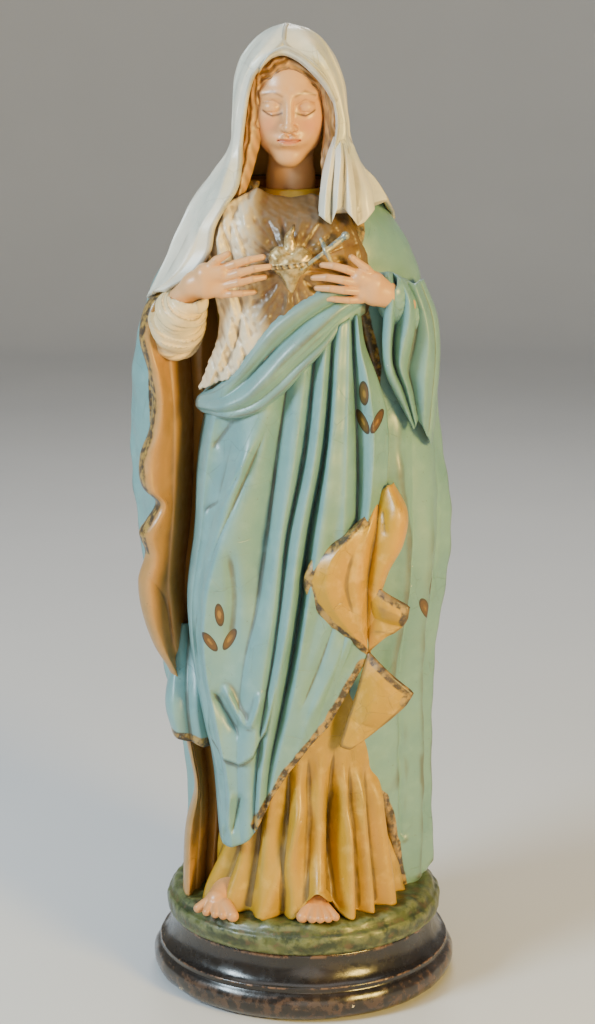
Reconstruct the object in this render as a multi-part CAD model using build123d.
"""Devotional statue of a veiled standing woman: painted plaster castings on a moulded black socle.

Units are millimetres, +Z is up, the figure faces -Y, and the origin is the centre of the socle's underside.
Left and right are the figure's own: her right hand is on the -X side.
The castings of the figure are modelled at the modeller's reference size, standing on z = 0, and then scaled to
FIGURE_HEIGHT and set on the ground plinth. Hardware (wires, rod, lath) keeps its own sizes.
"""

from build123d import *
import os

# --- socle: an oval ring casting, open underneath ---
SOCLE_WIDTH = 196.0
SOCLE_DEPTH = 184.0
SOCLE_HEIGHT = 41.0
SOCLE_TORUS_HEIGHT = 20.0
SOCLE_TORUS_BULGE = 4.0
SOCLE_FILLET_STEP = 2.0
SOCLE_BORE_WIDTH = 136.0
SOCLE_UNDERSIDE_TRIM = 3.0

# --- ground plinth: the green earth that the figure stands on ---
RIM_WIDTH = 178.0
RIM_HEIGHT = 14.0
RIM_ROUND = 3.0
RIM_OVERHANG = 4.0
MOUND_RISE = 5.0
MOUND_TOP_WIDTH = 168.0
SPIGOT_DEPTH = 6.0
SPIGOT_CLEARANCE = 0.5

# --- figure ---
FIGURE_HEIGHT = 540.0
REFERENCE_HEIGHT = 540.0

# --- hollow of the casting (at the reference size), and the wooden lath plastered into it ---
CORE_WIDTH = 54.0
CORE_DEPTH = 42.0
CORE_RISE = 312.0
LATH_WIDTH = 20.0
LATH_THICKNESS = 8.0
LATH_WALL_GAP = 0.3
LATH_FOOT_ROOM = 12.0
LATH_HEAD_ROOM = 14.0
WAD_HEIGHT = 26.0
WAD_REACH = 7.0
WAD_INSET = 40.0

# --- iron hardware ---
NECK_ROD_DIAMETER = 6.0
NECK_ROD_BELOW = 30.0
NECK_ROD_ABOVE = 40.0
HAND_WIRE_DIAMETER = 2.4
HAND_WIRE_REACH = 8.0
WIRE_CLEARANCE = 0.05

GROUND = SOCLE_HEIGHT + RIM_HEIGHT + MOUND_RISE
FIGURE_SCALE = FIGURE_HEIGHT / REFERENCE_HEIGHT
CORE_FLOOR = SOCLE_HEIGHT - SPIGOT_DEPTH
CORE_TOP = GROUND + CORE_RISE * FIGURE_SCALE
CORE_HALF_DEPTH = CORE_DEPTH / 2 * FIGURE_SCALE
CORE_HALF_WIDTH = CORE_WIDTH / 2 * FIGURE_SCALE
OVALNESS = SOCLE_DEPTH / SOCLE_WIDTH
BIG = 900.0
LOFT_STEPS = 14


# ---------------------------------------------------------------- helpers
def oval_turned(profile):
    """Turns a closed profile (x = radius, z = height) about Z and presses it to the socle's oval."""
    turned = revolve(make_face(Plane.XZ * profile), Axis.Z)
    return scale(turned, by=(1, OVALNESS, 1))


def between(levels, z):
    """The oval at height z, eased from one level to the next without overshoot."""
    for low, high in zip(levels, levels[1:]):
        if z <= high[0]:
            break
    t = (z - low[0]) / (high[0] - low[0])
    i, last = levels.index(low), len(levels) - 1
    before, after = levels[max(i - 1, 0)], levels[min(i + 2, last)]
    oval = [z]
    for k in range(1, 5):
        span = high[0] - low[0]
        rise = (high[k] - low[k]) / span
        slopes = []
        for a, b in ((before, low), (high, after)):
            outer = (b[k] - a[k]) / (b[0] - a[0]) if a is not b else rise
            slopes.append(2 * rise * outer / (rise + outer) if rise * outer > 0 else 0.0)
        start, end = (slope * span for slope in slopes)
        oval.append(
            low[k] * (2 * t**3 - 3 * t**2 + 1)
            + start * (t**3 - 2 * t**2 + t)
            + high[k] * (3 * t**2 - 2 * t**3)
            + end * (t**3 - t**2)
        )
    return oval


def stack(levels, growth=0.0):
    """Lofts one smooth skin through oval levels given as (z, centre x, centre y, half width, half depth)."""
    bottom, top = levels[0][0], levels[-1][0]
    heights = [bottom + (top - bottom) * i / LOFT_STEPS for i in range(LOFT_STEPS + 1)]
    ovals = [between(levels, z) for z in heights]
    return loft([Plane(origin=(x, y, z)) * Ellipse(a + growth, b + growth) for z, x, y, a, b in ovals])


def ellipsoid(centre, radii, tilt=0.0):
    """An ellipsoid with its half sizes along X, Y, Z, nodding forward by tilt degrees."""
    return Pos(*centre) * Rot(tilt, 0, 0) * scale(Sphere(1), by=radii)


def taper(start, end, start_radius, end_radius):
    """A round tapered limb from start to end."""
    start, end = Vector(*start), Vector(*end)
    limb = Solid.make_cone(start_radius, end_radius, (end - start).length, Plane(origin=start, z_dir=end - start))
    return Part(limb.wrapped)


def finger(knuckle, tip, root_radius, tip_radius):
    """A tapered finger with a round tip."""
    return taper(knuckle, tip, root_radius, tip_radius) + Pos(*tip) * Sphere(tip_radius)


def rod(start, end, diameter):
    """A straight round bar from start to end."""
    start, end = Vector(*start), Vector(*end)
    bar = Solid.make_cylinder(diameter / 2, (end - start).length, Plane(origin=start, z_dir=end - start))
    return Part(bar.wrapped)


def block(low, high):
    """A box between two corners."""
    size = [h - l for l, h in zip(low, high)]
    centre = [(h + l) / 2 for l, h in zip(low, high)]
    return Pos(*centre) * Box(*size)


def half_space(point, normal):
    """A big block that fills the side of a plane that the normal points to."""
    return Plane(origin=point, z_dir=normal) * Pos(0, 0, BIG / 2) * Box(BIG, BIG, BIG)


def swept(points, sections):
    """Lofts ovals (half width, half height) across a bent run of points, each oval square to the run."""
    run = [Vector(*p) for p in points]
    faces = []
    for i, (point, (a, b)) in enumerate(zip(run, sections)):
        ahead = run[min(i + 1, len(run) - 1)] - run[max(i - 1, 0)]
        faces.append(Plane(origin=point, x_dir=ahead.cross(Vector(0, 0, 1)), z_dir=ahead) * Ellipse(a, b))
    return loft(faces)


def placed(shape):
    """Takes a casting from the reference size to its real size and place on the ground plinth."""
    return Pos(0, 0, GROUND) * scale(shape, by=FIGURE_SCALE)


def placed_point(point):
    """The same move for a point."""
    return Vector(*point) * FIGURE_SCALE + Vector(0, 0, GROUND)


def main_solid(shape):
    """The body of a cut shape, without slivers."""
    return Part(max(shape.solids(), key=lambda solid: solid.volume).wrapped)


# ---------------------------------------------------------------- base
def socle():
    half = SOCLE_WIDTH / 2
    bore = SOCLE_BORE_WIDTH / 2
    neck = RIM_WIDTH / 2 - RIM_OVERHANG
    foot = half - SOCLE_TORUS_BULGE
    ledge = foot - SOCLE_FILLET_STEP
    step = SOCLE_TORUS_HEIGHT + SOCLE_FILLET_STEP
    cove_mid = (neck + (ledge - neck) * 0.25, step + (SOCLE_HEIGHT - step) * 0.4)
    profile = (
        Polyline((bore, -SOCLE_UNDERSIDE_TRIM), (foot, -SOCLE_UNDERSIDE_TRIM), (foot, 0))
        + ThreePointArc((foot, 0), (half, SOCLE_TORUS_HEIGHT / 2), (foot, SOCLE_TORUS_HEIGHT))
        + Polyline((foot, SOCLE_TORUS_HEIGHT), (ledge, SOCLE_TORUS_HEIGHT), (ledge, step))
        + ThreePointArc((ledge, step), cove_mid, (neck, SOCLE_HEIGHT))
        + Polyline((neck, SOCLE_HEIGHT), (bore, SOCLE_HEIGHT), (bore, -SOCLE_UNDERSIDE_TRIM))
    )
    return oval_turned(profile) - half_space((0, 0, 0), (0, 0, -1))


def core_column(bottom, top):
    """The hollow left by the core of the casting, as a solid."""
    return Pos(0, 0, bottom) * extrude(Ellipse(CORE_HALF_WIDTH, CORE_HALF_DEPTH), top - bottom)


def earth():
    """The ground plinth's outer form, with the spigot that sits in the socle's bore."""
    rim = RIM_WIDTH / 2
    spigot = SOCLE_BORE_WIDTH / 2 - SPIGOT_CLEARANCE
    top = SOCLE_HEIGHT + RIM_HEIGHT
    crest = MOUND_TOP_WIDTH / 2
    slope_mid = ((rim - RIM_ROUND) * 0.6 + crest * 0.4, top + MOUND_RISE * 0.62)
    profile = (
        Polyline((0, CORE_FLOOR), (spigot, CORE_FLOOR), (spigot, SOCLE_HEIGHT))
        + Line((spigot, SOCLE_HEIGHT), (rim - RIM_ROUND, SOCLE_HEIGHT))
        + ThreePointArc((rim - RIM_ROUND, SOCLE_HEIGHT), (rim, SOCLE_HEIGHT + RIM_HEIGHT / 2), (rim - RIM_ROUND, top))
        + ThreePointArc((rim - RIM_ROUND, top), slope_mid, (crest, GROUND))
        + Polyline((crest, GROUND), (0, GROUND), (0, CORE_FLOOR))
    )
    return oval_turned(profile)


def ground_plinth():
    return earth() - core_column(CORE_FLOOR - 1, GROUND + 1)


# ---------------------------------------------------------------- figure, at the reference size
GOWN_LEVELS = [
    (0, 4, -8, 58, 54),
    (90, 0, -6, 50, 46),
    (190, -2, -4, 48, 42),
    (280, -6, -2, 46, 40),
    (348, -8, -2, 42, 37),
    (398, -8, -6, 46, 38),
    (424, -8, -2, 40, 30),
    (438, -8, 0, 25, 21),
]
DRAPE_LEVELS = [
    (18, 2, -8, 60, 57),
    (74, -3, -8, 60, 55),
    (144, -4, -7, 65, 54),
    (194, -6, -6, 66, 53),
    (245, -6, -5, 60, 51),
    (307, -8, -4, 55, 49),
    (352, -8, -4, 52, 46),
    (386, -8, -4, 50, 42),
]
DRAPE_BACK = 8.0
SWAG_LINE = ((-8, -50, 346), (-0.56, 0, 0.83))
HEM_LINE = ((-44, -60, 36), (0.62, 0, -0.78))
CLOAK_LEVELS = [
    (-8, 3, 16, 80, 52),
    (60, 4, 14, 76, 54),
    (140, -3, 10, 84, 56),
    (240, -6, 6, 96, 58),
    (300, -8, 4, 98, 58),
    (350, -8, 4, 94, 55),
    (404, -8, 4, 78, 47),
]
LINING_LEVELS = [
    (-12, -80, -32, 34, 30),
    (60, -76, -34, 32, 34),
    (140, -84, -34, 32, 36),
    (240, -88, -34, 32, 36),
    (330, -86, -40, 28, 38),
    (376, -80, -44, 24, 32),
]
SKIRT_GAP_LEVELS = [(-12, 8, -46, 56, 46), (40, 4, -48, 48, 46), (98, 0, -50, 34, 44)]
FRONT_GAP_LEVELS = [(84, -2, -66, 58, 46), (240, -4, -66, 62, 46), (340, -8, -66, 52, 46), (410, -8, -66, 40, 44)]
SWAG_RUN = [(-60, -22, 312), (-52, -40, 318), (-32, -52, 334), (-6, -54, 352), (20, -50, 370), (38, -44, 380)]
SWAG_OVALS = [(9, 12), (11, 15), (11, 14), (10, 12), (9, 10), (7, 7)]
FLAP_THICKNESS = 4.5
FLAP_UPPER = [(40, 270), (52, 252), (46, 203), (62, 194), (38, 166), (6, 208), (20, 228), (34, 246)]
FLAP_LOWER = [(38, 163), (63, 146), (52, 122), (26, 98), (30, 130)]
SLEEVE_RIGHT_RUN = [(-84, -16, 332), (-82, -32, 344), (-74, -45, 366), (-67, -52, 384)]
SLEEVE_LEFT_RUN = [(72, -16, 346), (66, -32, 364), (57, -44, 377), (50, -50, 384)]
SLEEVE_OVALS = [(15, 15), (18, 18), (16, 16), (12.5, 12.5)]
SLEEVE_TAIL_RUN = [(56, -45, 372), (58, -47, 350), (64, -44, 322), (72, -38, 298)]
SLEEVE_TAIL_OVALS = [(8, 12), (9, 14), (8, 12), (3, 5)]
HEAD_CENTRE = (-8, -13, 497)
HEAD_RADII = (22.5, 27, 34)
HEAD_TILT = 12.0
NECK = ((-8, -1, 428), (-8, -8, 480), 15.5, 13.0)
HAIR_GROWTH = 3.5
TRESS_DROPS = [(21, 2, -4), (25, 1, -28), (27, -3, -54)]
TRESS_OVALS = [(6.0, 9.0), (7.0, 9.0), (5.0, 6.0)]
VEIL_GROWTH = 8.5
VEIL_FALL_LEVELS = [
    (404, -8, 3, 84, 54),
    (420, -8, 2, 75, 50),
    (442, -8, 2, 59, 43),
    (460, -8, 0, 43, 37),
    (480, -8, -4, 34, 34),
    (500, -8, -8, 31, 33),
]
VEIL_OPENING_LEVELS = [
    (390, -8, -66, 60, 46),
    (420, -8, -62, 42, 42),
    (445, -8, -56, 30, 36),
    (480, -8, -48, 24, 30),
    (512, -8, -44, 20, 26),
    (530, -8, -42, 8, 12),
]
WRIST_RIGHT = (-62, -54, 391)
WRIST_LEFT = (47, -53, 386)
HAND_RIGHT_AIM = (1.0, -0.06, 0.2)
HAND_LEFT_AIM = (-1.0, -0.06, 0.2)
HEART_CENTRE = (-8, -49, 400)
SWORD_FRONT = 7.0
FOOT_RIGHT = ((-46, -34, 6), (-54, -50, 4))
FOOT_LEFT = ((12, -48, 7), (10, -62, 4))


def front_drape_block():
    """The front of the figure out to the drape's face, cut along the drape's hem and its edge at the waist."""
    whole = stack(DRAPE_LEVELS) - half_space((0, DRAPE_BACK, 0), (0, 1, 0))
    return whole - half_space(*SWAG_LINE) - half_space(*HEM_LINE)


def cloak_block():
    """The cloak's outer form, open over the breast, over the skirt and along its turned-back right edge."""
    return stack(CLOAK_LEVELS) - stack(LINING_LEVELS) - stack(SKIRT_GAP_LEVELS) - stack(FRONT_GAP_LEVELS)


def lining_flap(outline):
    """A turned-out corner of the lining, one layer thick over the drape and the cloak."""
    prism = Plane.XZ * extrude(make_face(Polyline(*outline, close=True)), BIG)
    return (prism & stack(DRAPE_LEVELS, FLAP_THICKNESS)) + (prism & stack(CLOAK_LEVELS, FLAP_THICKNESS))


def hand(wrist, aim, cuff):
    """A hand laid over the breast: palm, four spread fingers, a lifted thumb, and a stub of arm in the cuff."""
    wrist = Vector(*wrist)
    ahead = Vector(*aim).normalized()
    up = Vector(0, 0, 1)
    palm = wrist + ahead * 11
    solid = ellipsoid(palm, (13, 5.5, 10.5)) + taper(wrist, palm, 6.4, 7.0)
    solid += Pos(*wrist) * Sphere(6.5) + taper(cuff, wrist, 7.5, 6.3)
    for rise, fan, length in [(7.0, 0.10, 17), (2.4, 0.02, 21), (-2.3, -0.04, 20), (-6.6, -0.12, 15)]:
        knuckle = palm + ahead * 7 + up * rise
        solid += finger(knuckle, knuckle + (ahead + up * fan).normalized() * length, 2.9, 2.0)
    thumb = palm - ahead * 3 + up * 8
    return solid + finger(thumb, thumb + (ahead * 0.75 + up * 0.66).normalized() * 12, 3.1, 2.3)


def foot(heel, toe):
    """The bare front of a foot that shows below the hem."""
    heel, toe = Vector(*heel), Vector(*toe)
    ahead = (toe - heel).normalized()
    side = ahead.cross(Vector(0, 0, 1))
    solid = taper(heel, toe, 9.0, 6.0)
    for i in range(5):
        root = toe + side * (i - 2) * 3.9 - ahead * abs(i - 1.5) * 1.3
        solid += finger(root, root + ahead * 6 - Vector(0, 0, 1.6), 2.7, 2.3)
    return solid


def heart():
    """A swollen heart with a flame above it."""
    centre = Vector(*HEART_CENTRE)
    lobes = [ellipsoid(centre + Vector(side * 4.6, 0, 2), (6.6, 5.0, 7.4)) for side in (-1, 1)]
    point = taper(centre + Vector(0, 0, 1), centre - Vector(0, 0, 14), 8.2, 1.2)
    flame = taper(centre + Vector(0, 0, 7), centre + Vector(-1, 0, 19), 4.4, 1.0)
    return lobes[0] + lobes[1] + point + flame


def heart_sword():
    """A small sword thrust into the heart from above her left hand."""
    tip = Vector(*HEART_CENTRE) + Vector(3, -SWORD_FRONT, 3)
    along = Vector(16, 0, 12).normalized()
    across = along.cross(Vector(0, 1, 0))
    guard = tip + along * 19
    solid = taper(tip, guard, 1.2, 1.5) + taper(guard, guard + along * 9, 1.6, 1.9)
    solid += rod(guard - across * 4.5, guard + across * 4.5, 2.6)
    return solid + Pos(*(guard + along * 10)) * Sphere(2.3)


def hair():
    """The hair that shows round the face, and a tress down each side of the neck."""
    x, y, z = HEAD_CENTRE
    cap = ellipsoid((x, y + 2, z + 1), tuple(r + HAIR_GROWTH for r in HEAD_RADII), HEAD_TILT)
    solid = cap - half_space((x, y - 12, z), (0, -1, -0.35))
    for side in (-1, 1):
        solid += swept([(x + side * dx, y + dy, z + dz) for dx, dy, dz in TRESS_DROPS], TRESS_OVALS)
    return solid


def veil():
    """The cowl over the head and its fall over the shoulders, open in front."""
    x, y, z = HEAD_CENTRE
    width, depth, height = [r + VEIL_GROWTH for r in HEAD_RADII]
    cowl = ellipsoid((x, y + 4, REFERENCE_HEIGHT - height), (width, depth + 2, height))
    return cowl + stack(VEIL_FALL_LEVELS) - stack(VEIL_OPENING_LEVELS)


def castings():
    """Every plaster casting of the figure at the reference size. Each one gives way to those before it."""
    pieces = {
        "head": ellipsoid(HEAD_CENTRE, HEAD_RADII, HEAD_TILT) + taper(*NECK),
        "right_hand": hand(WRIST_RIGHT, HAND_RIGHT_AIM, SLEEVE_RIGHT_RUN[-2]),
        "left_hand": hand(WRIST_LEFT, HAND_LEFT_AIM, SLEEVE_LEFT_RUN[-2]),
        "gown": stack(GOWN_LEVELS),
        "heart": heart(),
        "heart_sword": heart_sword(),
        "hair": hair(),
        "waist_swag": swept(SWAG_RUN, SWAG_OVALS),
        "mantle_front": front_drape_block(),
        "right_sleeve": swept(SLEEVE_RIGHT_RUN, SLEEVE_OVALS),
        "left_sleeve": swept(SLEEVE_LEFT_RUN, SLEEVE_OVALS) + swept(SLEEVE_TAIL_RUN, SLEEVE_TAIL_OVALS),
        "mantle_back": cloak_block(),
        "lining_flap_upper": lining_flap(FLAP_UPPER),
        "lining_flap_lower": lining_flap(FLAP_LOWER),
        "veil": veil(),
        "right_foot": foot(*FOOT_RIGHT),
        "left_foot": foot(*FOOT_LEFT),
    }
    done = {}
    for name, piece in pieces.items():
        for other in done.values():
            piece = piece - other
        done[name] = main_solid(piece)
    return done


# ---------------------------------------------------------------- hidden inside the castings
def neck_rod(diameter):
    """The iron rod that pins the head casting to the shoulders."""
    base, top = placed_point(NECK[0]), placed_point(NECK[1])
    up = (top - base).normalized()
    return rod(base - up * NECK_ROD_BELOW, base + up * NECK_ROD_ABOVE, diameter)


def hand_wire(wrist, aim, sleeve_run, diameter):
    """The iron wire that ties a hand casting into its sleeve."""
    bed = placed_point(sleeve_run[-2]) * 0.7 + placed_point(sleeve_run[-3]) * 0.3
    end = placed_point(wrist) + Vector(*aim).normalized() * HAND_WIRE_REACH
    return rod(bed, end, diameter)


def spine_lath():
    """The wooden lath that stands against the back wall of the hollow."""
    half = LATH_WIDTH / 2
    wall = CORE_HALF_DEPTH * (1 - (half / CORE_HALF_WIDTH) ** 2) ** 0.5
    back = wall - LATH_WALL_GAP
    low = (-half, back - LATH_THICKNESS, CORE_FLOOR + LATH_FOOT_ROOM)
    return block(low, (half, back, CORE_TOP - LATH_HEAD_ROOM))


def scrim_wad(bottom, lath):
    """A wad of sacking and plaster that holds the lath to the wall."""
    front = lath.bounding_box().min.Y - WAD_REACH
    wad = core_column(bottom, bottom + WAD_HEIGHT) - half_space((0, front, 0), (0, -1, 0))
    return wad - lath


# ---------------------------------------------------------------- assembly
def build():
    nodes = {"socle": socle(), "ground_plinth": ground_plinth()}
    for name, casting in castings().items():
        nodes[name] = placed(casting)

    below_ground = half_space((0, 0, GROUND), (0, 0, -1))
    for name in ("mantle_back", "right_foot", "left_foot"):
        nodes[name] = main_solid(nodes[name] - below_ground)

    nodes["gown"] -= core_column(GROUND - 1, CORE_TOP)
    nodes["spine_lath"] = spine_lath()
    nodes["scrim_wad_low"] = scrim_wad(GROUND + WAD_INSET, nodes["spine_lath"])
    nodes["scrim_wad_high"] = scrim_wad(CORE_TOP - WAD_INSET - WAD_HEIGHT, nodes["spine_lath"])

    bore = NECK_ROD_DIAMETER + 2 * WIRE_CLEARANCE
    nodes["neck_rod"] = neck_rod(NECK_ROD_DIAMETER)
    for name in ("head", "gown"):
        nodes[name] -= neck_rod(bore)

    bore = HAND_WIRE_DIAMETER + 2 * WIRE_CLEARANCE
    for side, wrist, aim, run in (
        ("right", WRIST_RIGHT, HAND_RIGHT_AIM, SLEEVE_RIGHT_RUN),
        ("left", WRIST_LEFT, HAND_LEFT_AIM, SLEEVE_LEFT_RUN),
    ):
        nodes[f"{side}_hand_wire"] = hand_wire(wrist, aim, run, HAND_WIRE_DIAMETER)
        for name in (f"{side}_hand", f"{side}_sleeve"):
            nodes[name] -= hand_wire(wrist, aim, run, bore)
    return nodes


os.makedirs("parts", exist_ok=True)
for node, shape in build().items():
    export_step(shape, f"parts/{node}.step")
